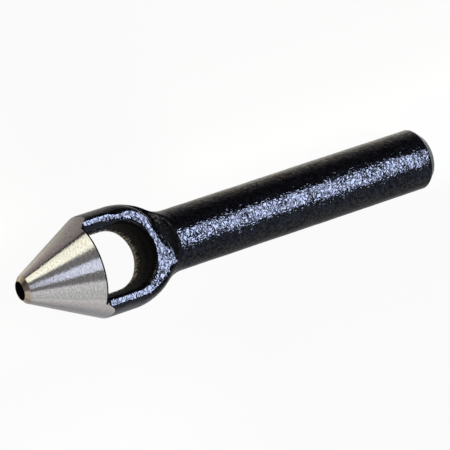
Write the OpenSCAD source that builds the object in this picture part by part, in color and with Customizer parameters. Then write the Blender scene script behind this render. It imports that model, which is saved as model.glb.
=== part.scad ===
// Arch punch: a hand punch that is struck with a hammer to cut a round hole in sheet material.
// The tool's axis runs along +X from the cutting edge to the head. +Y lies across the two legs
// of the arch and +Z looks out through the window between them. The origin is the centre of the
// cutting edge. A turned nose is joined to the legs of a forged body, whose outside is one turned
// form from the legs to the head, with two forged faces and a window taken out of it.

/* [Nose] */
// Diameter of the hole that the punch cuts
hole_d = 4.76; // [3:0.01:6.2]
// Width of the flat that is left on the cutting edge
edge_w = 0.12; // [0.05:0.01:0.4]
// Length of the steep bevel behind the cutting edge
bevel_len = 1.05; // [0.6:0.05:2]
// How far the bevel spreads outwards
bevel_w = 1.1; // [0.6:0.05:1.8]
// Length of the nose, from the cutting edge to its flat back
nose_len = 17.9; // [14:0.1:24]
// Diameter of the rim at the back of the nose
nose_d = 24; // [21:0.1:28]
// Width of the rim behind the ground cone
rim_w = 0.4; // [0.2:0.1:1]
// Length of the straight bore behind the cutting edge
land_len = 5; // [3:0.1:8]
// Diameter of the slug passage where it opens into the window
passage_d = 7; // [6.6:0.1:9]

/* [Arch] */
// How far the legs stand out past the rim of the nose
leg_proud = 1.2; // [0.6:0.1:2.5]
// Width of each leg, from the window to the outside
leg_w = 5.6; // [4.6:0.1:6.8]
// Length of the straight outside of the legs, from the back of the nose to the crown
leg_len = 9.8; // [7:0.1:14]
// Thickness of the arch, from face to face
arch_t = 13; // [11:0.1:14.5]
// Length of the window, from the back of the nose to the crown
window_len = 16.8; // [13:0.1:17.6]
// Radius of the rounded edges of the window
window_round = 2; // [1:0.1:3]
// Radius of the rounded outer edges of the two faces
face_round = 5; // [4:0.1:6]
// How far inside the legs' outer surface that rounding is centred
face_inset = 4.7; // [4:0.1:5.2]
// How far behind the start of the crown that rounding turns
face_shift = 1.2; // [0:0.1:2]

/* [Neck] */
// Radius of the crown's outside in the plane of the arch
crown_r = 16.7; // [15:0.1:20]
// Radius of the hollow between the crown and the shank
neck_r = 9; // [6:0.1:14]
// How far the full round of the shank reaches into that hollow
shoulder_lead = 1.9; // [0.5:0.1:3]
// Radius of the cove from the shoulder down to the faces of the arch
cove_r = 5; // [4:0.1:7]
// How far the cove would bottom out below the faces of the arch
cove_dip = 1.1; // [0.6:0.1:1.6]

/* [Shank] */
// Length of the whole punch, from the cutting edge to the striking face
length = 120.65; // [90:0.05:180]
// Diameter of the shank
shank_d = 15.88; // [14:0.01:18]
// Radius of the rounded edge of the head
head_round = 2.6; // [0.5:0.1:4]

/* [Hidden] */
$fn = 96;

// How far one shape runs into the next, or a cutter past a face
overlap = 1;

// Turned sizes
hole_r = hole_d / 2;
lip_r = hole_r + edge_w;
bevel_r = lip_r + bevel_w;
nose_r = nose_d / 2;
leg_r = nose_r + leg_proud;
shank_r = shank_d / 2;

// The ground cone carries on past the rim and runs out on the legs
cone_x = nose_len - rim_w;
cone_slope = (nose_r - bevel_r) / (cone_x - bevel_len);
root_r = nose_r + rim_w * cone_slope;
grind_x = cone_x + leg_proud / cone_slope;

// The crown's outside arc and the neck's hollow arc touch at the blend point
crown_x = nose_len + leg_len;
crown_c = leg_r - crown_r;
neck_c = shank_r + neck_r;
neck_run = sqrt(pow(crown_r + neck_r, 2) - pow(neck_c - crown_c, 2));
neck_x = crown_x + neck_run;
blend_share = crown_r / (crown_r + neck_r);
blend_x = crown_x + neck_run * blend_share;
blend_r = crown_c + (neck_c - crown_c) * blend_share;

// Faces of the arch and the cove behind them
face_z = arch_t / 2;
face_c = leg_r - face_inset;
face_x = crown_x + face_shift;
cove_z = face_z + cove_r - cove_dip;
shoulder_x = neck_x - shoulder_lead;
cove_x = shoulder_x - sqrt(pow(cove_r, 2) - pow(cove_z - shank_r, 2));

// Where the rounding of the faces has crossed the turned outside, so that it cuts no lower
round_z = face_z - face_round / 2;

// Window
window_r = leg_r - leg_w;
window_x = nose_len + window_len - window_r;
mouth_r = window_r + window_round;
mouth_z = face_z - window_round;

// Lays a turned shape, whose height is its place along the axis, along +X
module turned() {
    rotate([0, 90, 0])
        rotate_extrude()
            children();
}

// Runs a section of radius and height straight along the legs and round a half turn at x
module arched(x) {
    translate([x, 0, 0]) {
        rotate([0, 0, -90])
            rotate_extrude(angle = 180)
                children();
        for (side = [0, 1])
            mirror([0, side, 0])
                rotate([90, 0, -90])
                    linear_extrude(height = x - nose_len + overlap)
                        mirror([1, 0])
                            children();
    }
}

// Turned outside of the body, as radius against place along the axis
module body_outline() {
    polygon([
        [0, nose_len],
        [root_r, nose_len],
        [leg_r, grind_x],
        [leg_r, crown_x],
        [0, crown_x]
    ]);
    intersection() {
        translate([crown_c, crown_x])
            circle(crown_r);
        translate([0, crown_x - overlap])
            square([leg_r, blend_x - crown_x + overlap]);
    }
    difference() {
        translate([0, blend_x - overlap])
            square([blend_r, neck_x - blend_x + overlap]);
        translate([neck_c, neck_x])
            circle(neck_r);
    }
    translate([0, neck_x - overlap])
        square([shank_r, length - head_round - neck_x + overlap]);
    translate([0, length - head_round - overlap])
        square([shank_r - head_round, head_round + overlap]);
    translate([shank_r - head_round, length - head_round])
        circle(head_round);
}

// Section that leaves the faces flat, with rounded outer edges
module face_section() {
    translate([0, -face_z])
        square([face_c, arch_t]);
    for (side = [-1, 1])
        translate([face_c, side * (face_z - face_round)])
            circle(face_round);
    translate([0, -round_z])
        square([leg_r + neck_x - face_x, 2 * round_z]);
}

// Section of the window, which opens out at both faces
module window_section() {
    translate([0, -face_z - overlap])
        square([window_r, arch_t + 2 * overlap]);
    for (side = [0, 1])
        mirror([0, side])
            difference() {
                translate([0, mouth_z])
                    square([mouth_r, window_round + overlap]);
                translate([mouth_r, mouth_z])
                    circle(window_round);
            }
}

// Everything behind the cove, seen from the side
module shank_zone() {
    rotate([90, 0, 0])
        linear_extrude(height = 2 * leg_r, center = true)
            difference() {
                translate([cove_x, -leg_r])
                    square([length + overlap - cove_x, 2 * leg_r]);
                for (side = [-1, 1])
                    translate([cove_x, side * cove_z])
                        circle(cove_r);
                for (side = [0, 1])
                    mirror([0, side])
                        translate([cove_x - overlap, cove_z])
                            square([cove_r + overlap, leg_r]);
            }
}

// Shank, neck and arch in one forging
module forged_body() {
    color("#1d1e22")
        difference() {
            intersection() {
                turned()
                    body_outline();
                union() {
                    arched(face_x)
                        face_section();
                    shank_zone();
                }
            }
            arched(window_x)
                window_section();
        }
}

// Ground cone with the cutting edge, the bore and the slug passage that widens behind it
module cutting_nose() {
    color("#b8b5ae")
        turned()
            polygon([
                [hole_r, 0],
                [lip_r, 0],
                [bevel_r, bevel_len],
                [nose_r, cone_x],
                [nose_r, nose_len],
                [passage_d / 2, nose_len],
                [hole_r, land_len]
            ]);
}

forged_body();
cutting_nose();
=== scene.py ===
"""Arch punch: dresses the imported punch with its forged, enamelled body and its ground nose."""

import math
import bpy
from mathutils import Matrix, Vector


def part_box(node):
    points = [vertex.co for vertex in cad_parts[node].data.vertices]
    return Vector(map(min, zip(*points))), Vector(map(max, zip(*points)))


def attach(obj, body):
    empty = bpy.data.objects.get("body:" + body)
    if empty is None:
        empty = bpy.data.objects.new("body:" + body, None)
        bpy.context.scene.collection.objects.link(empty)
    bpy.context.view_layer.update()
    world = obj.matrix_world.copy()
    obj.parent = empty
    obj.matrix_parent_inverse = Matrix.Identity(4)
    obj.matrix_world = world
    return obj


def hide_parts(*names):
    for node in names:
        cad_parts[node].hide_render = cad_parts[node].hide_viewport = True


bl_info = {
    "name": "Arch punch",
    "version": (1, 0, 0),
    "blender": (4, 5, 0),
    "location": "View3D > Sidebar > Arch punch",
    "description": "A forged black body and a bright ground nose, on a pale studio floor",
    "category": "Object",
}

import bmesh
import bpy
import numpy as np
from bpy.props import FloatProperty, PointerProperty, StringProperty
from mathutils import Matrix, Vector, noise

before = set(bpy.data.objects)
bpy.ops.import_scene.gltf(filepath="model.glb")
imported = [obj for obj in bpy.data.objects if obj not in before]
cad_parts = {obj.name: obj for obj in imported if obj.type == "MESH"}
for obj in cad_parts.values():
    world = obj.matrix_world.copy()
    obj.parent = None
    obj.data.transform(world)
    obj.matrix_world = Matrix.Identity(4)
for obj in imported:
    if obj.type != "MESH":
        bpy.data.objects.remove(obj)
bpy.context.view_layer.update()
body_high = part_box("forged_body")[1]
nose_low, nose_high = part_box("cutting_nose")

# One millimetre in the frame's metres
MM = 0.001
# A length too small to matter, in metres, that keeps a division safe
TINY = 1e-9
# Radius of the head's rounded edge, in millimetres
HEAD_ROUND = 2.6


# Sizes and colours

def length(name, description, millimetres):
    """A length setting, given in millimetres."""
    return FloatProperty(
        name=name, description=description, default=millimetres * MM, unit="LENGTH", precision=5)


def angle(name, description, degrees):
    """An angle setting, given in degrees."""
    return FloatProperty(
        name=name, description=description, default=math.radians(degrees), subtype="ANGLE")


def slope(name, description, default):
    """A setting that says how far something sinks or shrinks for each length along it."""
    return FloatProperty(name=name, description=description, default=default, precision=3)


def fraction(name, description, default):
    """A setting from 0 to 1."""
    return FloatProperty(
        name=name, description=description, default=default, min=0.0, max=1.0, subtype="FACTOR")


def colour_code(name, description, default):
    """A colour setting, as sRGB hex."""
    return StringProperty(name=name, description=description, default=default)


class ForgingSizes(bpy.types.PropertyGroup):
    """The black forging: its form, and its skin."""

    leg_r: length("Leg radius", "Radius of the turned outside of the legs", body_high.y / MM)
    crown_x: length("Crown start", "Where the outside of the legs begins to curve in", 27.7)
    crown_r: length("Crown radius", "Radius of that curve", 16.7)
    neck_x: length("Neck end", "Where the hollow of the neck has become the shank", 43.28)
    neck_r: length("Neck radius", "Radius of that hollow", 9.0)
    shank_r: length("Shank radius", "Radius of the shank", 7.94)
    face_z: length("Face height", "Height of the arch's faces above the axis", 6.5)
    face_soft: length("Face edge", "How far the faces' outer edges are rounded over", 1.45)
    window_x: length("Window centre", "Centre of the window's round end", 27.1)
    window_r: length("Window radius", "Radius of the window's round end", 7.6)
    window_round: length("Window edge", "Radius of the window's rounded edge at the crown", 0.5)
    ledge: length("Window ledge", "How far the flash that was sheared off stands into the window", 0.5)
    shoulder_x: length("Shoulder", "Where the ramp of the neck meets the shank", 41.45)
    ramp_r: length("Ramp radius", "Radius of the hollow ramp from the faces to the shank", 8.0)
    ramp_x: length("Ramp centre", "Where that hollow would bottom out", 34.9)
    root_round: length("Root fillet", "Radius of the fillet between the legs' faces and the nose", 1.2)
    head_round: length("Head rounding", "Radius of the head's rounded edge", HEAD_ROUND)
    head_x: length("Head start", "Where that edge begins", body_high.x / MM - HEAD_ROUND)
    cell: length("Mesh cell", "Size of the cells that the forging's skin is meshed with", 0.26)
    swell_size: length("Swell size", "Wavelength of the slow unevenness that the dies leave", 7.0)
    swell_depth: length("Swell depth", "Height of that unevenness", 0.06)
    peel_size: length("Peel size", "Wavelength of the orange-peel dimples in the enamel", 1.1)
    peel_depth: length("Peel depth", "Height of those dimples", 0.03)
    wrinkle_size: length("Wrinkle size", "Wavelength of the noise that the wrinkles wind along", 1.0)
    wrinkle_depth: length("Wrinkle depth", "Depth of the wrinkles in the enamel", 0.028)
    patch_size: length("Patch size", "Size of the patches in which gloss and wrinkles change", 5.0)
    speck_size: length("Speck size", "Spacing of the dull specks in the enamel", 0.8)
    streak_w: length("Streak width", "Width of the torn streaks in the scale", 0.4)
    streak_len: length("Streak length", "Length of those streaks", 1.4)
    streak_depth: length("Streak depth", "Depth of those streaks", 0.2)
    pressed_x: length("Pressed legs", "Where the smoother skin of the legs starts to roughen", 26.0)
    pressed_end: length("Pressed end", "Where it is as rough as the rest", 32.0)
    thin_z: length("Thin scale", "Height in the window where the torn colour starts to show through", 3.0)
    thin_end: length("Thin scale end", "Height below which it shows through evenly", -0.5)
    torn_z: length("Torn scale", "Height where the wall starts to be torn", -1.1)
    torn_end: length("Torn scale end", "Height where all of the wall is torn", -2.1)
    torn_ragged: length("Torn edge", "How much the streaks move those heights", 4.0)
    enamel: colour_code("Enamel colour", "sRGB colour of the enamel", "#040405")
    # Its cool tint is painted into every reflection on the enamel, adding to the blue of the lamps in its
    # highlights
    gloss: colour_code("Gloss colour", "sRGB tint of what the enamel mirrors", "#F3F8FF")
    # Near white, lighter than bare steel: partly the colour of the torn band, partly painted light that
    # lifts the shaded lower wall of the window
    scale: colour_code("Scale colour", "sRGB colour of the bare scale in the window", "#F2E8D6")


class WearSizes(bpy.types.PropertyGroup):
    """Hammer work and wear of this one forging. Its worn side is +Y on top and -Y underneath."""

    tilt_x: length("Tilt centre", "Where along the arch the tilted face has its own height", 28.0)
    tilt_along: slope("Tilt along", "How much the face sinks towards the head", 0.015)
    tilt_across: slope("Tilt across", "How much the face sinks towards the worn side", 0.02)
    edge_lean: slope("Edge lean", "How much tighter the faces' outer edges get to that side", 0.025)
    leg_round: length("Leg edge", "How much the radius of the window's edge grows on the legs", 1.3)
    lip_reach: length("Lip reach", "How far the worn leg's lip reaches from the window", 4.0)
    lip_r: length("Lip radius", "Radius of that lip", 6.0)
    fall_x: length("Fall centre", "Centre of the curve where the crown's face starts to fall away", 25.0)
    fall_r: length("Fall radius", "Radius of that curve", 13.1)
    fall_turn: angle("Fall angle", "How far the line across the neck, where it falls too, is turned", 38.22)
    fall_round: length("Fall rounding", "Radius of the surface that falls away", 2.5)
    fall_lean: slope("Fall lean", "How much that surface sinks towards the worn side", 0.12)
    dent: length("Dent", "How far the fall bites into the middle of the crown", 0.9)
    roll_y: length("Roll start", "How far from the axis the worn leg's face rolls over", 11.1)
    roll_in: length("Roll inwards", "How much closer to the axis that is by the crown", 1.3)
    roll_r: length("Roll radius", "Radius of the surface that rolls over", 3.0)
    bend_x: length("Roll bend", "Where the line of that roll starts to bend in round the crown", 31.0)
    bend_r: length("Roll bend radius", "Radius of that bend", 5.0)
    top_r: length("Ramp top", "Radius across the top of the ramp on the worn side", 14.0)
    head_slope: slope("Chamfer slope", "How much the head's worn chamfer falls on its way ahead", 0.81)
    head_edge: length("Chamfer start", "Where the line of that chamfer meets the head's start", 3.24)
    head_end: length("Head end", "How far the struck end stands past the head's start", 3.15)
    head_swell: length("Head swell", "How much hammering has swollen the shank's radius by the head", 0.13)


class NoseSizes(bpy.types.PropertyGroup):
    """The ground nose, as turned."""

    hole_r: length("Hole radius", "Radius of the cutting bore", 2.38)
    edge_w: length("Edge width", "Flat that is left on the cutting edge", 0.12)
    edge_round: length("Edge rounding", "Radius of that flat's two edges", 0.03)
    bevel_len: length("Bevel length", "Length of the steep bevel behind the edge", 1.05)
    bevel_r: length("Bevel radius", "Radius where the bevel meets the cone", 3.6)
    bevel_round: length("Bevel rounding", "Radius of the edge between them", 0.12)
    rim_r: length("Rim radius", "Radius of the rim at the back of the nose", -nose_low.z / MM)
    rim_w: length("Rim width", "Width of the painted rim behind the cone", 0.4)
    cone_round: length("Cone rounding", "Radius of the edge between cone and rim", 0.05)
    rim_round: length("Rim rounding", "Radius of the rim's back edge", 0.08)
    back_x: length("Nose back", "Where the nose ends in its flat back", nose_high.x / MM)
    land_len: length("Land length", "Length of the straight bore", 5.0)
    passage_r: length("Passage radius", "Radius of the slug passage at the back", 3.5)
    passage_round: length("Passage rounding", "Radius of the passage's edges", 0.2)
    ground_len: length("Ground length", "How far behind the nose the legs are ground at most", 4.0)
    ground_ragged: length("Ground edge", "How ragged the edge of the ground part is", 0.06)
    ground_lump: length("Ground edge size", "Size of the lumps in that edge", 1.8)
    mark_size: length("Mark size", "Spacing of the grit marks along the cone", 0.3)
    grain_size: length("Grain size", "Size of the dull grain between them", 0.45)
    mark_depth: length("Mark depth", "Depth of marks and grain", 0.018)
    temper_x: length("Temper start", "Where the temper colour starts to fade", 0.9)
    temper_end: length("Temper end", "Where the temper colour has gone", 1.5)
    steel: colour_code("Steel colour", "sRGB colour of the ground steel", "#C6C5C3")
    grain: colour_code("Grain colour", "sRGB colour of the steel in the grit marks", "#AAA9A7")
    temper: colour_code("Temper colour", "sRGB colour of the steel by the edge", "#B3A897")
    bore: colour_code("Bore colour", "sRGB colour of the scale in the bore", "#191714")


class StageSizes(bpy.types.PropertyGroup):
    """The pale floor, the room and the camera."""

    floor_size: length("Floor size", "Side of the square floor", 12000)
    # Painted shade, multiplied over the floor beside the shank and the arch
    floor_painted_shade: colour_code("Dim floor", "sRGB shade over the floor's dim parts", "#A0A0A0")
    # Painted light, on the floor past the head
    floor_painted_light: colour_code("Floor past the head", "sRGB colour of the floor there", "#BCB8A7")
    white_seen: fraction("White seen", "Share of plain white in the floor that the camera sees", 0.95)
    white_mirrored: fraction("White mirrored", "Share of plain white in the floor's reflections", 0.2)
    room_dark: colour_code("Dark room", "sRGB colour of most of the room", "#272321")
    room_light: colour_code("Light room", "sRGB colour of the room above the nose", "#908D8F")
    lens: FloatProperty(
        name="Lens", description="Focal length on a 36 mm sensor, in millimetres", default=221.94)
    camera_away: length("Camera distance", "From the camera to the place that it looks at", 702.03)
    camera_lean: angle("Camera lean", "How far it leans from straight above towards the nose", 28.09)
    camera_turn: angle("Camera turn", "How far it is turned, so that the shank rises to the right", 18.5)
    aim_x: length("Aim along", "Where along the punch the camera looks", 59.3)
    aim_y: length("Aim aside", "How far beside the punch's axis the camera looks", -0.62)


class ArchPunchSettings(bpy.types.PropertyGroup):
    """All the settings of the arch punch."""

    forging: PointerProperty(type=ForgingSizes)
    wear: PointerProperty(type=WearSizes)
    nose: PointerProperty(type=NoseSizes)
    stage: PointerProperty(type=StageSizes)


# Helpers

def linear(code):
    """sRGB hex to linear RGBA."""
    parts = [int(code[i:i + 2], 16) / 255 for i in (1, 3, 5)]
    return [c / 12.92 if c <= 0.04045 else ((c + 0.055) / 1.055) ** 2.4 for c in parts] + [1.0]


def add(tree, kind, settings=None, **sockets):
    """Adds a node. Settings are its properties, and sockets its inputs: a value, or an output to link."""
    made = tree.nodes.new(kind)
    for key, value in (settings or {}).items():
        setattr(made, key, value)
    for key, value in sockets.items():
        socket = made.inputs[int(key[1:])] if key[1:].isdigit() else made.inputs[key.replace("_", " ")]
        if isinstance(value, bpy.types.NodeSocket):
            tree.links.new(value, socket)
        else:
            socket.default_value = value
    return made


def new_material(name):
    """A material and its tree, which is empty."""
    material = bpy.data.materials.new(name)
    material.use_nodes = True
    material.node_tree.nodes.clear()
    return material, material.node_tree


def show(tree, shader):
    """Links a shader to the material's output."""
    add(tree, "ShaderNodeOutputMaterial", Surface=shader)


def smoothstep(low, high, value):
    """0 below low, 1 above high, and a soft curve between."""
    t = np.clip((value - low) / (high - low), 0.0, 1.0)
    return t * t * (3 - 2 * t)


def cone_radius(nose, x):
    """Radius of the ground cone at x, also where it runs on over the legs."""
    cone_x = nose.back_x - nose.rim_w
    steepness = (nose.rim_r - nose.bevel_r) / (cone_x - nose.bevel_len)
    return nose.rim_r + (x - cone_x) * steepness


def put_in_scene(name, mesh):
    """A new object that holds the mesh, smooth shaded."""
    made = bpy.data.objects.new(name, mesh)
    bpy.context.scene.collection.objects.link(made)
    mesh.polygons.foreach_set("use_smooth", np.ones(len(mesh.polygons), bool))
    mesh.update()
    return made


# Materials

def steel_shader(tree, nose):
    """Bright tool steel, ground round the cone: long soft glints along it, and fine marks round it."""
    place = add(tree, "ShaderNodeTexCoord").outputs["Object"]
    apart = add(tree, "ShaderNodeSeparateXYZ", Vector=place)
    turn = add(tree, "ShaderNodeMath", {"operation": "ARCTAN2"},
               _0=apart.outputs["Y"], _1=apart.outputs["Z"])
    # Grit marks are about 0.05 mm apart and too fine to show, so they are drawn 0.3 mm apart
    marks_per_radian = 9.0
    along = add(tree, "ShaderNodeMath", {"operation": "MULTIPLY"},
                _0=apart.outputs["X"], _1=1 / nose.mark_size)
    around = add(tree, "ShaderNodeMath", {"operation": "MULTIPLY"},
                 _0=turn.outputs[0], _1=marks_per_radian)
    rings = add(tree, "ShaderNodeCombineXYZ", X=along.outputs[0], Y=around.outputs[0])
    marks = add(tree, "ShaderNodeTexNoise", Vector=rings.outputs[0], Scale=1.0,
                Detail=3.0, Roughness=0.6)
    grain = add(tree, "ShaderNodeTexNoise", Vector=place, Scale=1 / nose.grain_size,
                Detail=2.0, Roughness=0.6)
    both = add(tree, "ShaderNodeMath", {"operation": "ADD"},
               _0=marks.outputs["Fac"], _1=grain.outputs["Fac"])
    bump = add(tree, "ShaderNodeBump", Strength=1.0, Distance=nose.mark_depth, Height=both.outputs[0])
    rough = add(tree, "ShaderNodeMapRange", Value=marks.outputs["Fac"],
                From_Min=0.3, From_Max=0.7, To_Min=0.11, To_Max=0.19)
    bright = add(tree, "ShaderNodeMapRange", Value=both.outputs[0], From_Min=0.8, From_Max=1.2)
    tint = add(tree, "ShaderNodeMix", {"data_type": "RGBA"}, _0=bright.outputs[0],
               _6=linear(nose.grain), _7=linear(nose.steel))
    # Tempering has left its straw colour on the bevel
    temper = add(tree, "ShaderNodeMapRange", Value=apart.outputs["X"],
                 From_Min=nose.temper_x, From_Max=nose.temper_end, To_Min=1.0, To_Max=0.0)
    tint = add(tree, "ShaderNodeMix", {"data_type": "RGBA"}, _0=temper.outputs[0],
               _6=tint.outputs[2], _7=linear(nose.temper))
    tangent = add(tree, "ShaderNodeTangent", {"direction_type": "RADIAL", "axis": "X"})
    return add(tree, "ShaderNodeBsdfPrincipled", Base_Color=tint.outputs[2], Metallic=1.0,
               Roughness=rough.outputs[0], Anisotropic=0.6, Anisotropic_Rotation=0.25,
               Tangent=tangent.outputs[0], Normal=bump.outputs[0]).outputs[0]


def enamel_shader(tree, sizes):
    """Stoved black enamel over a forged skin: a deep gloss that fine winding wrinkles break up."""
    place = add(tree, "ShaderNodeTexCoord").outputs["Object"]
    # Wrinkles wind about 0.8 mm apart, where the noise passes its middle value
    field = add(tree, "ShaderNodeTexNoise", Vector=place, Scale=1 / sizes.wrinkle_size,
                Detail=0.5, Distortion=0.8)
    off = add(tree, "ShaderNodeMath", {"operation": "SUBTRACT"}, _0=field.outputs["Fac"], _1=0.5)
    off = add(tree, "ShaderNodeMath", {"operation": "ABSOLUTE"}, _0=off.outputs[0])
    skin = add(tree, "ShaderNodeMapRange", {"interpolation_type": "SMOOTHSTEP"}, Value=off.outputs[0],
               From_Min=0.0, From_Max=0.18)
    bump = add(tree, "ShaderNodeBump", Strength=1.0, Distance=sizes.wrinkle_depth, Height=skin.outputs[0])
    patch = add(tree, "ShaderNodeTexNoise", Vector=place, Scale=1 / sizes.patch_size, Detail=3.0)
    rough = add(tree, "ShaderNodeMapRange", Value=patch.outputs["Fac"],
                From_Min=0.3, From_Max=0.7, To_Min=0.04, To_Max=0.08)
    # The specular tint paints a cool colour into the enamel's highlights and reflections
    gloss = add(tree, "ShaderNodeBsdfPrincipled", Base_Color=linear(sizes.enamel), IOR=1.45,
                Roughness=rough.outputs[0], Specular_Tint=linear(sizes.gloss), Normal=bump.outputs[0])
    dull = add(tree, "ShaderNodeBsdfPrincipled", Base_Color=linear(sizes.enamel), Roughness=0.7,
               Specular_IOR_Level=0.06)

    # The wrinkles are dull at the bottom, in some patches more than in others
    pit = add(tree, "ShaderNodeMapRange", Value=off.outputs[0],
              From_Min=0.035, From_Max=0.06, To_Min=1.0, To_Max=0.0)
    dense = add(tree, "ShaderNodeMapRange", Value=patch.outputs["Fac"],
                From_Min=0.4, From_Max=0.56, To_Min=0.35)
    share = add(tree, "ShaderNodeMath", {"operation": "MULTIPLY"},
                _0=pit.outputs[0], _1=dense.outputs[0])
    # Fine dull specks lie all over it, finer than a dot of the picture, so they are drawn 0.8 mm apart
    dust = add(tree, "ShaderNodeTexNoise", Vector=place, Scale=1 / sizes.speck_size, Detail=1.0)
    dust = add(tree, "ShaderNodeMapRange", Value=dust.outputs["Fac"],
               From_Min=0.5, From_Max=0.6, To_Max=0.8)
    share = add(tree, "ShaderNodeMath", {"operation": "MAXIMUM"},
                _0=share.outputs[0], _1=dust.outputs[0])
    # The legs were pressed smoother than the rest, and wrinkles close up where they are seen edge on
    along = add(tree, "ShaderNodeSeparateXYZ", Vector=place)
    pressed = add(tree, "ShaderNodeMapRange", Value=along.outputs["X"],
                  From_Min=sizes.pressed_x, From_Max=sizes.pressed_end, To_Min=0.3)
    turned = add(tree, "ShaderNodeLayerWeight", Blend=0.5)
    closed = add(tree, "ShaderNodeMapRange", Value=turned.outputs["Facing"],
                 From_Min=0.4, From_Max=0.75, To_Min=1.0, To_Max=0.2)
    for less in (pressed, closed):
        share = add(tree, "ShaderNodeMath", {"operation": "MULTIPLY"},
                    _0=share.outputs[0], _1=less.outputs[0])
    return add(tree, "ShaderNodeMixShader", _0=share.outputs[0], _1=gloss.outputs[0],
               _2=dull.outputs[0]).outputs[0]


def scale_shader(tree, sizes, torn):
    """Dull scale: black where it was sheared, and of the torn colour towards the underside, which in the
    window is partly painted light.
    """
    place = add(tree, "ShaderNodeTexCoord").outputs["Object"]
    apart = add(tree, "ShaderNodeSeparateXYZ", Vector=place)
    # Torn streaks run through the wall, a few times as long as they are wide
    across, through = 1 / sizes.streak_w, 1 / sizes.streak_len
    streaks = add(tree, "ShaderNodeMapping", Vector=place, Scale=(across, across, through))
    grain = add(tree, "ShaderNodeTexNoise", Vector=streaks.outputs[0], Scale=1.0,
                Detail=3.0, Roughness=0.6)
    bump = add(tree, "ShaderNodeBump", Strength=1.0, Distance=sizes.streak_depth,
               Height=grain.outputs["Fac"])
    # A little of the torn colour shows through from the middle of the wall down, and all of it lower still.
    # In the window the torn colour is near white, so the shaded lower wall reads light: partly the torn band
    # of the sheared flash, partly painted light.
    ragged = add(tree, "ShaderNodeMath", {"operation": "MULTIPLY_ADD"},
                 _0=grain.outputs["Fac"], _1=sizes.torn_ragged, _2=apart.outputs["Z"])
    thin = add(tree, "ShaderNodeMapRange", Value=ragged.outputs[0],
               From_Min=sizes.thin_z, From_Max=sizes.thin_end, To_Max=0.08)
    bare = add(tree, "ShaderNodeMapRange", Value=ragged.outputs[0],
               From_Min=sizes.torn_z, From_Max=sizes.torn_end)
    share = add(tree, "ShaderNodeMath", {"operation": "MAXIMUM"},
                _0=bare.outputs[0], _1=thin.outputs[0])
    streaky = add(tree, "ShaderNodeMapRange", Value=grain.outputs["Fac"],
                  From_Min=0.35, From_Max=0.65, To_Min=1.0, To_Max=0.35)
    share = add(tree, "ShaderNodeMath", {"operation": "MULTIPLY"},
                _0=share.outputs[0], _1=streaky.outputs[0])
    tone = add(tree, "ShaderNodeMix", {"data_type": "RGBA"}, _0=share.outputs[0],
               _6=linear(sizes.enamel), _7=linear(torn))
    return add(tree, "ShaderNodeBsdfPrincipled", Base_Color=tone.outputs[2], Roughness=0.6,
               Specular_IOR_Level=0.06, Normal=bump.outputs[0]).outputs[0]


def ground_steel(settings):
    """The steel on its own, for the nose."""
    material, tree = new_material("ground_tool_steel")
    show(tree, steel_shader(tree, settings.nose))
    return material


def black_enamel(settings):
    """The enamel, thin over the scale in the window and ground through to steel at the roots of the legs."""
    material, tree = new_material("black_enamel_on_forging")
    bare = add(tree, "ShaderNodeAttribute", {"attribute_name": "bare"})
    skin = add(tree, "ShaderNodeMixShader", _0=bare.outputs["Fac"],
               _1=enamel_shader(tree, settings.forging),
               _2=scale_shader(tree, settings.forging, settings.forging.scale))
    cut = add(tree, "ShaderNodeAttribute", {"attribute_name": "ground"})
    edge = add(tree, "ShaderNodeMapRange", Value=cut.outputs["Fac"], From_Min=-0.02, From_Max=0.02)
    show(tree, add(tree, "ShaderNodeMixShader", _0=edge.outputs[0], _1=skin.outputs[0],
                   _2=steel_shader(tree, settings.nose)).outputs[0])
    return material


def bore_scale(settings):
    """Dull black scale where nothing was ground: the bore, the rim and the back of the nose."""
    material, tree = new_material("black_scale")
    show(tree, scale_shader(tree, settings.forging, settings.nose.bore))
    return material


# Form of the forging

def softened(points, edges, free, passes):
    """Points moved towards their neighbours' mean, as far as each is free to."""
    count = np.zeros(len(points))
    for side in (0, 1):
        np.add.at(count, edges[:, side], 1)
    for _ in range(passes):
        total = np.zeros_like(points)
        np.add.at(total, edges[:, 0], points[edges[:, 1]])
        np.add.at(total, edges[:, 1], points[edges[:, 0]])
        points = points + 0.5 * free[:, None] * (total / count[:, None] - points)
    return points


def uneven(points, size, shift):
    """Smooth noise at each point, from about -1 to 1, with waves of that size. A shift gives other noise."""
    return np.array([noise.noise(Vector(p)) for p in points / size + shift])


def turned_radius(sizes, x):
    """Radius of the forging's outside at x: legs, crown, hollow neck and shank."""
    past = np.maximum(x - sizes.crown_x, 0.0)
    crown = sizes.leg_r - sizes.crown_r + np.sqrt(np.maximum(sizes.crown_r ** 2 - past ** 2, 0.0))
    short = np.minimum(x - sizes.neck_x, 0.0)
    neck = sizes.shank_r + sizes.neck_r - np.sqrt(np.maximum(sizes.neck_r ** 2 - short ** 2, 0.0))
    share = sizes.crown_r / (sizes.crown_r + sizes.neck_r)
    meet = sizes.crown_x + (sizes.neck_x - sizes.crown_x) * share
    return np.where(x < meet, crown, neck)


def past_window(sizes, x, y):
    """How far a place on the arch is outside the window's outline."""
    return np.hypot(np.maximum(x - sizes.window_x, 0.0), y) - sizes.window_r


def window_lip(sizes, wear, x, y):
    """How far the window's edge is below the face: rounder on the legs, and worn down on one of them."""
    out = past_window(sizes, x, y)
    on_legs = smoothstep(2 * MM, 7.5 * MM, abs(y))
    edge = sizes.window_round + wear.leg_round * on_legs
    short = np.clip(edge - out, 0.0, edge)
    rounded_off = edge - np.sqrt(edge ** 2 - short ** 2)
    on_worn_leg = smoothstep(3 * MM, 8 * MM, y)
    by_crown = smoothstep(24 * MM, 30 * MM, x)
    reach = wear.lip_reach * on_worn_leg * (1 - 0.4 * by_crown)
    worn_off = np.maximum(reach - out, 0.0) ** 2 / (2 * wear.lip_r)
    return np.maximum(rounded_off, worn_off)


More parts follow.
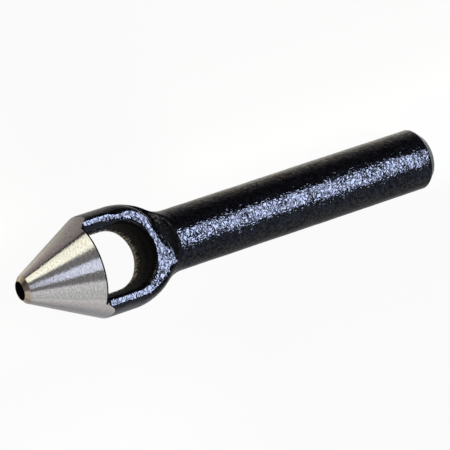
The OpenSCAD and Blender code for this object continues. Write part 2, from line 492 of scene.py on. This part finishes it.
def crown_fall(wear, x, y):
    """How far the crown's face has fallen away by the neck, most on the worn side."""
    in_middle = smoothstep(-1.5 * MM, 1.5 * MM, y) * (1 - smoothstep(4 * MM, 7 * MM, y))
    round_crown = np.hypot(x - wear.fall_x, y) - wear.fall_r + wear.dent * in_middle
    past_crown = x - wear.fall_x - wear.fall_r
    aside = y + 1.0 * MM
    across_neck = math.cos(wear.fall_turn) * past_crown + math.sin(wear.fall_turn) * aside
    over = np.maximum(np.minimum(round_crown, across_neck), 0.0)
    lean = wear.fall_lean * np.maximum(y + 3 * MM, 0.0) * smoothstep(0, 1.5 * MM, over)
    return over ** 2 / (2 * wear.fall_round) + lean


def early_roll(wear, x, y):
    """How far the face has rolled over on the worn side, from where the leg bends into the crown."""
    start = wear.roll_y - wear.roll_in * smoothstep(24.5 * MM, 28 * MM, x)
    start -= np.maximum(x - wear.bend_x, 0.0) ** 2 / (2 * wear.bend_r)
    return np.maximum(y - start, 0.0) ** 2 / (2 * wear.roll_r)


def ramp_height(sizes, wear, x, y):
    """Height of the ramp that climbs to the shank's round top, and sinks with it on the worn side."""
    run = sizes.shoulder_x - sizes.ramp_x
    top = sizes.shank_r - np.maximum(y, 0.0) ** 2 / (2 * wear.top_r)
    climb = np.clip(x - sizes.ramp_x, 0.0, sizes.ramp_r)
    return top + math.sqrt(sizes.ramp_r ** 2 - run ** 2) - np.sqrt(sizes.ramp_r ** 2 - climb ** 2)


def face_height(sizes, wear, x, y):
    """Height of the arch's face, which the hammer left tilted, or of the ramp where that is higher."""
    face = sizes.face_z - wear.tilt_across * y - wear.tilt_along * (x - wear.tilt_x)
    face -= window_lip(sizes, wear, x, y) + crown_fall(wear, x, y) + early_roll(wear, x, y)
    return np.maximum(face, ramp_height(sizes, wear, x, y))


def set_to_faces(points, sizes, wear, nose):
    """Points of the arch and the neck, raised or sunk to the faces as the hammer left them."""
    x, y, z = points.T.copy()
    side = np.sign(z)
    # On top, the shank runs straight on to the shoulder and only its sides flare
    flare = smoothstep(3.5 * MM, 7 * MM, abs(y))
    flare = np.maximum(flare, 1 - smoothstep(-1.5 * MM, -0.5 * MM, x - sizes.shoulder_x))
    radius = sizes.shank_r + (turned_radius(sizes, x) - sizes.shank_r) * flare
    outside = np.sqrt(np.maximum(radius ** 2 - y ** 2, 0.0))
    # The lower of outside and face counts, with a soft edge between them that is tighter by the shoulder
    face = face_height(sizes, wear, x, y * side)
    soft = sizes.face_soft - wear.edge_lean * y * side
    soft *= 1 - 0.7 * smoothstep(-3 * MM, -1 * MM, x - sizes.shoulder_x)
    share = np.clip(0.5 + 0.5 * (outside - face) / soft, 0.0, 1.0)
    height = outside + (face - outside) * share - soft * share * (1 - share)
    # The window's walls, the legs' sides and the shank stay as they are
    near = smoothstep(3.4 * MM, 4.2 * MM, abs(z))
    near *= smoothstep(0.1 * MM, 0.4 * MM, past_window(sizes, x, y))
    near *= smoothstep(nose.back_x, nose.back_x + 0.1 * MM, x)
    near *= 1 - smoothstep(sizes.neck_x, sizes.neck_x + 1.0 * MM, x)
    z += near * (side * height - z)
    # The faces rise to the nose in a small fillet
    short = np.clip(sizes.root_round - (x - nose.back_x), 0.0, sizes.root_round)
    z *= 1 + (sizes.root_round - np.sqrt(sizes.root_round ** 2 - short ** 2)) / sizes.face_z
    return np.column_stack((x, y, z))


def widened(points, sizes):
    """The window made wider above the ledge that the flash left."""
    x, y, z = points.T
    out = past_window(sizes, x, y)
    wider = sizes.ledge * smoothstep(-4 * MM, -2.5 * MM, z) * (1 - smoothstep(0, 2.5 * MM, out))
    bend = np.maximum(x - sizes.window_x, 0.0)
    wider /= np.maximum(np.hypot(bend, y), 1 * MM)
    return np.column_stack((x + wider * bend, y + wider * y, z))


def hammered(points, sizes, wear):
    """The head's rounded edge struck to a chamfer, and the shank swollen a little towards it."""
    x, y, z = points.T
    r = np.hypot(y, z)
    centre_r = sizes.shank_r - sizes.head_round
    ahead = np.maximum(x - sizes.head_x, 0.0)
    aside = np.maximum(r - centre_r, TINY)
    to_chamfer = wear.head_edge / (wear.head_slope * ahead + aside)
    to_side = sizes.head_round / aside
    to_end = wear.head_end / np.maximum(ahead, TINY)
    grow = np.minimum(np.minimum(to_chamfer, to_side), to_end)
    on_head = x > sizes.head_x
    x = np.where(on_head, sizes.head_x + ahead * grow, x)
    spread = np.where(on_head & (r > centre_r), (centre_r + aside * grow) / np.maximum(r, TINY), 1.0)
    towards_head = smoothstep(46 * MM, 100 * MM, x)
    spread += wear.head_swell / sizes.shank_r * towards_head
    return np.column_stack((x, y * spread, z * spread))


# Pieces

class ARCHPUNCH_OT_forging(bpy.types.Operator):
    """Meshes the forging finely from its CAD solid, softens its edges and gives it a forged skin"""

    bl_idname = "archpunch.forging"
    bl_label = "Forged body"

    def execute(self, context):
        settings = context.scene.arch_punch
        sizes, wear, nose = settings.forging, settings.wear, settings.nose
        mesh = self.meshed(context, sizes.cell)
        points = np.zeros(len(mesh.vertices) * 3)
        mesh.vertices.foreach_get("co", points)
        points = points.reshape(-1, 3)
        edges = np.zeros(len(mesh.edges) * 2, int)
        mesh.edges.foreach_get("vertices", edges)
        edges = edges.reshape(-1, 2)

        # The roots of the legs hardly move, because the nose stands against them
        past_root = smoothstep(nose.back_x + 0.3 * MM, nose.back_x + 2.5 * MM, points[:, 0])
        free = 0.15 + 0.85 * past_root
        points = softened(points, edges, free, passes=6)
        # The window's wall is left as it was pierced, with little paint on it
        wall = 1 - smoothstep(0.2 * MM, 0.5 * MM, past_window(sizes, points[:, 0], points[:, 1]))
        points = set_to_faces(points, sizes, wear, nose)
        points = hammered(widened(points, sizes), sizes, wear)
        points = softened(points, edges, free, passes=2)
        points = self.skinned(mesh, points, sizes, past_root)
        points[:, 0] = np.maximum(points[:, 0], nose.back_x)
        points, cut = self.ground(points, nose)
        self.move(mesh, points)
        self.store(mesh, "ground", cut)
        self.store(mesh, "bare", wall)

        body = put_in_scene("forged_skin", mesh)
        mesh.materials.clear()
        mesh.materials.append(black_enamel(settings))
        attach(body, "root")
        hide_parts("forged_body")
        return {"FINISHED"}

    def meshed(self, context, cell):
        """The CAD solid's mesh, in even cells."""
        blank = put_in_scene("blank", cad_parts["forged_body"].data.copy())
        remesh = blank.modifiers.new("cells", "REMESH")
        remesh.mode = "VOXEL"
        remesh.voxel_size = cell
        remesh.adaptivity = 0.0
        mesh = bpy.data.meshes.new_from_object(blank.evaluated_get(context.evaluated_depsgraph_get()))
        bpy.data.objects.remove(blank)
        fewest = 10000
        if len(mesh.vertices) < fewest:
            raise RuntimeError("the forging's mesh is too coarse")
        return mesh

    def skinned(self, mesh, points, sizes, past_root):
        """Points raised or sunk by the dies' slow unevenness and the enamel's dimples."""
        self.move(mesh, points)
        normals = np.zeros(len(points) * 3)
        mesh.vertex_normals.foreach_get("vector", normals)
        height = sizes.swell_depth * uneven(points, sizes.swell_size, 0.0)
        height += sizes.peel_depth * uneven(points, sizes.peel_size, 17.0)
        height *= 0.1 + 0.9 * past_root
        return points + normals.reshape(-1, 3) * height[:, None]

    def ground(self, points, nose):
        """Points with the cone ground over the roots of the legs, and how far that cuts, in millimetres.

        A point is bare steel where the cut is above 0. The paint ends there in a ragged edge.
        """
        radius = np.hypot(points[:, 1], points[:, 2])
        cone = cone_radius(nose, points[:, 0])
        below = np.minimum(radius - cone, 0.0)
        points[:, 1:] *= np.where(radius > cone, cone / np.maximum(radius, TINY), 1.0)[:, None]
        ragged = nose.ground_ragged * (1 + uneven(points, nose.ground_lump, 5.0))
        cut = (below + ragged) / MM
        cut[points[:, 0] > nose.back_x + nose.ground_len] = -1.0
        return points, cut

    def move(self, mesh, points):
        """Moves the mesh's own points to these."""
        mesh.vertices.foreach_set("co", points.ravel())
        mesh.update()

    def store(self, mesh, name, values):
        """Keeps a number for each point, for the material."""
        mesh.attributes.new(name, "FLOAT", "POINT").data.foreach_set("value", values.astype(np.float32))


def rounded(corners, steps=4):
    """A closed profile of (x, r, radius) corners, each rounded by its radius, as (x, r) points."""
    out = []
    for i, (x, r, radius) in enumerate(corners):
        here = Vector((x, r))
        before = Vector(corners[i - 1][:2]) - here
        after = Vector(corners[(i + 1) % len(corners)][:2]) - here
        half = before.angle(after) / 2
        reach = min(radius / math.tan(half), 0.45 * before.length, 0.45 * after.length)
        a = here + before.normalized() * reach
        b = here + after.normalized() * reach
        for k in range(steps + 1):
            t = k / steps
            p = a * (1 - t) ** 2 + here * 2 * t * (1 - t) + b * t * t
            out.append((p.x, p.y))
    return out


class ARCHPUNCH_OT_nose(bpy.types.Operator):
    """Turns the nose: cutting edge, bevel, ground cone, rim, back, slug passage and bore"""

    bl_idname = "archpunch.nose"
    bl_label = "Cutting nose"

    def execute(self, context):
        settings = context.scene.arch_punch
        sizes = settings.nose
        mesh = self.turned(sizes, turns=256)
        nose = put_in_scene("turned_nose", mesh)
        mesh.materials.append(ground_steel(settings))
        mesh.materials.append(bore_scale(settings))
        for face in mesh.polygons:
            face.material_index = 1 if self.is_scaled(sizes, face.center) else 0
        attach(nose, "root")
        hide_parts("cutting_nose")
        return {"FINISHED"}

    def turned(self, sizes, turns):
        """The profile turned round the axis, with that many faces round it."""
        cone_x = sizes.back_x - sizes.rim_w
        profile = rounded([
            (0, sizes.hole_r, sizes.edge_round),
            (0, sizes.hole_r + sizes.edge_w, sizes.edge_round),
            (sizes.bevel_len, sizes.bevel_r, sizes.bevel_round),
            (cone_x, sizes.rim_r, sizes.cone_round),
            (sizes.back_x, sizes.rim_r, sizes.rim_round),
            (sizes.back_x, sizes.passage_r, sizes.passage_round),
            (sizes.land_len, sizes.hole_r, sizes.passage_round),
        ])
        made = bmesh.new()
        rings = []
        for x, r in profile:
            # Over the legs there is no rim, because the cone is ground across the joint
            on_rim = x > cone_x - 0.1 * MM and r > sizes.rim_r - 0.1 * MM
            to_cone = cone_radius(sizes, x) - r if on_rim else 0.0
            ring = []
            for k in range(turns):
                t = 2 * math.pi * k / turns
                full = r + self.over_leg(t) * to_cone
                ring.append(made.verts.new((x, full * math.sin(t), full * math.cos(t))))
            rings.append(ring)
        for i, ring in enumerate(rings):
            after = rings[(i + 1) % len(rings)]
            for k in range(turns):
                j = (k + 1) % turns
                made.faces.new((ring[k], ring[j], after[j], after[k]))
        bmesh.ops.recalc_face_normals(made, faces=made.faces)
        mesh = bpy.data.meshes.new("turned_nose")
        made.to_mesh(mesh)
        made.free()
        return mesh

    def over_leg(self, turn):
        """1 where a leg stands behind the rim, 0 beside it, by the angle from the middle of a leg."""
        off = math.degrees(math.acos(min(1.0, abs(math.sin(turn)))))
        return 1 - smoothstep(32, 40, off)

    def is_scaled(self, sizes, centre):
        """True for a face behind the ground cone, in the bore or in the slug passage."""
        r = math.hypot(centre.y, centre.z)
        past_cone = centre.x > sizes.back_x - sizes.rim_w
        if past_cone and r < cone_radius(sizes, centre.x) - 0.04 * MM:
            return True
        in_bore = r < sizes.hole_r + 0.001 * MM
        in_passage = centre.x > sizes.land_len and r < sizes.passage_r
        past_edge = centre.x > 0.15 * MM
        return past_edge and (in_bore or in_passage)


# Stage

# Soft boxes and cards: name, direction from the punch, width and height as seen from it in degrees,
# brightness where 1 is white, and colour
SOFT_BOXES = (
    ("overhead_box", (0.505, -0.06, 0.863), 14.5, 46, 32, "#D3DDFF"),
    ("camera_box", (-0.44, 0.0, 0.9), 12, 25, 1.7, "#DDE6FF"),
    ("warm_card", (-0.426, 0.802, 0.419), 36.5, 34.5, 1.8, "#FFFDEA"),
    ("blue_card", (0.43, -0.79, 0.44), 34, 50, 0.68, "#DCE6FF"),
    ("side_card", (-0.30, -0.875, 0.385), 50, 46, 0.84, "#FCFDFF"),
    ("low_card", (-0.84, -0.52, 0.17), 36, 22, 0.8, "#FCFDFF"),
)
# The place on the punch's axis that they all face, and how far from it they stand, in metres
BOX_AIM = Vector((0.03, 0.0, 0.0))
BOX_AWAY = 1.5
# Boxes whose direction rises more than this lie overhead, with their width along the punch
OVERHEAD = 0.6

# Painted light and shade on the floor, seen mostly in reflections: a pale near side, a painted shadow close
# beside the punch, a painted strip of warm light behind it and a darker far side. From the near side to the
# far side: millimetres along Y, and colour
FLOOR_PAINTED_LIGHT_AND_SHADE = (
    (-150, "#DED3BC"), (-45, "#C0B5A3"), (-21, "#7E7972"), (16, "#E4D6B2"),
    (26, "#B09D82"), (45, "#8A7765"), (100, "#6A514B"),
)
# Parts of the floor with painted shade beside the shank and the arch, and painted light past the head, in
# millimetres.
# Each comes in along one axis, between two places, and lies in a band of the other: the band's middle, and
# how far from it there is none and all
# Painted shade on the near side, beside the shank
PAINTED_SHADE_BY_SHANK = ("X", 5, 45, "Y", 50, 40, 60)
# Painted shadow of the arch, on the far side of it
PAINTED_SHADOW_BY_ARCH = ("Y", 6, 14, "X", 17, 30, 12)
# Painted light on the floor past the head
PAINTED_LIGHT_PAST_HEAD = ("X", 105, 110, "Y", 4, 14, 8)

# The room is light round this direction, above the nose: the direction, and the cosines of the angles
# from it at which the light begins and is full
ROOM_LIGHT = ((-0.5, 0.0, 0.87), 0.45, 0.85)


def floor_part(tree, place, part):
    """1 in a part of the floor, which is given as above, and 0 outside it."""
    axis, start, end, other, middle, none, full = part
    along = add(tree, "ShaderNodeMapRange", Value=place.outputs[axis],
                From_Min=start * MM, From_Max=end * MM)
    off = add(tree, "ShaderNodeMath", {"operation": "SUBTRACT"}, _0=place.outputs[other], _1=middle * MM)
    off = add(tree, "ShaderNodeMath", {"operation": "ABSOLUTE"}, _0=off.outputs[0])
    band = add(tree, "ShaderNodeMapRange", Value=off.outputs[0],
               From_Min=none * MM, From_Max=full * MM)
    return add(tree, "ShaderNodeMath", {"operation": "MULTIPLY"},
               _0=along.outputs[0], _1=band.outputs[0]).outputs[0]


def pale_floor(stage):
    """Matt paper, white to the camera. Reflections show more of the light and shade painted on it, so that
    black stays deep.
    """
    material, tree = new_material("pale_floor")
    place = add(tree, "ShaderNodeSeparateXYZ", Vector=add(tree, "ShaderNodeTexCoord").outputs["Object"])
    near, far = FLOOR_PAINTED_LIGHT_AND_SHADE[0][0], FLOOR_PAINTED_LIGHT_AND_SHADE[-1][0]
    across = add(tree, "ShaderNodeMapRange", Value=place.outputs["Y"],
                 From_Min=near * MM, From_Max=far * MM)
    # The floor's painted light and shade across the punch
    painted_tones = add(tree, "ShaderNodeValToRGB", _0=across.outputs[0])
    stops = painted_tones.color_ramp.elements
    for at, code in FLOOR_PAINTED_LIGHT_AND_SHADE[1:-1]:
        stops.new((at - near) / (far - near)).color = linear(code)
    stops[0].color = linear(FLOOR_PAINTED_LIGHT_AND_SHADE[0][1])
    stops[-1].color = linear(FLOOR_PAINTED_LIGHT_AND_SHADE[-1][1])
    # Painted shade where the floor lies beside the shank and the arch
    dim = add(tree, "ShaderNodeMath", {"operation": "MAXIMUM"},
              _0=floor_part(tree, place, PAINTED_SHADE_BY_SHANK), _1=floor_part(tree, place, PAINTED_SHADOW_BY_ARCH))
    shade = add(tree, "ShaderNodeMix", {"data_type": "RGBA", "blend_type": "MULTIPLY"},
                _0=dim.outputs[0], _6=painted_tones.outputs[0], _7=linear(stage.floor_painted_shade))
    # Painted light on the floor past the head, mirrored in the head's rounded edge
    shade = add(tree, "ShaderNodeMix", {"data_type": "RGBA"},
                _0=floor_part(tree, place, PAINTED_LIGHT_PAST_HEAD), _6=shade.outputs[2], _7=linear(stage.floor_painted_light))
    plain = add(tree, "ShaderNodeBsdfDiffuse", Color=shade.outputs[2])
    white = add(tree, "ShaderNodeEmission", Color=(1, 1, 1, 1), Strength=1.0)

    # How much of it is white depends on what sees it
    rays = add(tree, "ShaderNodeLightPath")
    mirrored = add(tree, "ShaderNodeMath", {"operation": "ADD"},
                   _0=rays.outputs["Is Glossy Ray"], _1=rays.outputs["Is Transmission Ray"])
    mirrored = add(tree, "ShaderNodeMath", {"operation": "MULTIPLY"},
                   _0=mirrored.outputs[0], _1=stage.white_mirrored)
    share = add(tree, "ShaderNodeMath", {"operation": "MULTIPLY_ADD"},
                _0=rays.outputs["Is Camera Ray"], _1=stage.white_seen, _2=mirrored.outputs[0])
    show(tree, add(tree, "ShaderNodeMixShader", _0=share.outputs[0], _1=plain.outputs[0],
                   _2=white.outputs[0]).outputs[0])
    return material


class ARCHPUNCH_OT_stage(bpy.types.Operator):
    """Lays the floor under the nose and the head, and sets the lights, the room and the camera"""

    bl_idname = "archpunch.stage"
    bl_label = "Stage"

    def execute(self, context):
        settings = context.scene.arch_punch
        scene = context.scene
        self.floor(settings.stage, settings.nose, settings.forging)
        for soft_box in SOFT_BOXES:
            self.light(scene, *soft_box)
        self.room(scene, settings.stage)
        self.camera(scene, settings.stage)
        scene.view_settings.view_transform = "Standard"
        return {"FINISHED"}

    def floor(self, stage, nose, forging):
        """A pale floor that the rim of the nose and the end of the shank rest on."""
        tilt = math.atan2(nose.rim_r - forging.shank_r, forging.head_x - nose.back_x)
        half = stage.floor_size / 2
        corners = [(-half, -half, 0), (half, -half, 0), (half, half, 0), (-half, half, 0)]
        mesh = bpy.data.meshes.new("floor")
        mesh.from_pydata(corners, [], [(0, 1, 2, 3)])
        floor = put_in_scene("floor", mesh)
        floor.location = (nose.back_x, 0, -nose.rim_r)
        floor.rotation_euler = (0, -tilt, 0)
        mesh.materials.append(pale_floor(stage))

    def light(self, scene, name, direction, wide, high, bright, code):
        """A soft box or card, which the camera itself doesn't see."""
        towards = Vector(direction).normalized()
        lamp = bpy.data.lights.new(name, "AREA")
        lamp.shape = "RECTANGLE"
        lamp.size = 2 * BOX_AWAY * math.tan(math.radians(wide / 2))
        lamp.size_y = 2 * BOX_AWAY * math.tan(math.radians(high / 2))
        lamp.energy = bright * math.pi * lamp.size * lamp.size_y
        lamp.color = linear(code)[:3]
        box = bpy.data.objects.new(name, lamp)
        scene.collection.objects.link(box)
        upright = Vector((0, 1, 0)) if towards.z >= OVERHEAD else Vector((0, 0, 1))
        side = upright.cross(towards).normalized()
        turn = Matrix((side, towards.cross(side), towards)).transposed().to_4x4()
        box.matrix_world = Matrix.Translation(BOX_AIM + towards * BOX_AWAY) @ turn
        box.visible_camera = False

    def room(self, scene, stage):
        """A dim room, lighter above the nose."""
        world = bpy.data.worlds.new("dim_room")
        world.use_nodes = True
        tree = world.node_tree
        tree.nodes.clear()
        direction, begins, full = ROOM_LIGHT
        place = add(tree, "ShaderNodeTexCoord").outputs["Generated"]
        above = add(tree, "ShaderNodeVectorMath", {"operation": "DOT_PRODUCT"}, _0=place, _1=direction)
        share = add(tree, "ShaderNodeMapRange", Value=above.outputs["Value"],
                    From_Min=begins, From_Max=full)
        tone = add(tree, "ShaderNodeMix", {"data_type": "RGBA"}, _0=share.outputs[0],
                   _6=linear(stage.room_dark), _7=linear(stage.room_light))
        back = add(tree, "ShaderNodeBackground", Color=tone.outputs[2], Strength=1.0)
        add(tree, "ShaderNodeOutputWorld", Surface=back.outputs[0])
        scene.world = world

    def camera(self, scene, stage):
        """A long lens, above the nose and in front of it, turned so that the shank rises to the right."""
        data = bpy.data.cameras.new("camera")
        data.lens = stage.lens
        data.sensor_width = 36.0
        data.clip_start = 0.01
        data.clip_end = 100.0
        camera = bpy.data.objects.new("camera", data)
        scene.collection.objects.link(camera)
        aim = Matrix.Translation((stage.aim_x, stage.aim_y, 0))
        lean = Matrix.Rotation(-stage.camera_lean, 4, "Y")
        turn = Matrix.Rotation(-stage.camera_turn, 4, "Z")
        camera.matrix_world = aim @ lean @ turn @ Matrix.Translation((0, 0, stage.camera_away))
        scene.camera = camera


class ARCHPUNCH_PT_sidebar(bpy.types.Panel):
    """Lists the pieces and their settings"""

    bl_idname = "ARCHPUNCH_PT_sidebar"
    bl_label = "Arch punch"
    bl_space_type = "VIEW_3D"
    bl_region_type = "UI"
    bl_category = "Arch punch"

    def draw(self, context):
        settings = context.scene.arch_punch
        for operator, groups in (
            (ARCHPUNCH_OT_forging, (settings.forging, settings.wear)),
            (ARCHPUNCH_OT_nose, (settings.nose,)),
            (ARCHPUNCH_OT_stage, (settings.stage,)),
        ):
            box = self.layout.box()
            box.operator(operator.bl_idname)
            for group in groups:
                for name in group.__annotations__:
                    box.prop(group, name)


CLASSES = (
    ForgingSizes,
    WearSizes,
    NoseSizes,
    StageSizes,
    ArchPunchSettings,
    ARCHPUNCH_OT_forging,
    ARCHPUNCH_OT_nose,
    ARCHPUNCH_OT_stage,
    ARCHPUNCH_PT_sidebar,
)


def register():
    for made in CLASSES:
        bpy.utils.register_class(made)
    bpy.types.Scene.arch_punch = PointerProperty(type=ArchPunchSettings)


def unregister():
    del bpy.types.Scene.arch_punch
    for made in reversed(CLASSES):
        bpy.utils.unregister_class(made)


def main():
    register()
    bpy.ops.archpunch.forging()
    bpy.ops.archpunch.nose()
    bpy.ops.archpunch.stage()


if __name__ == "__main__":
    main()
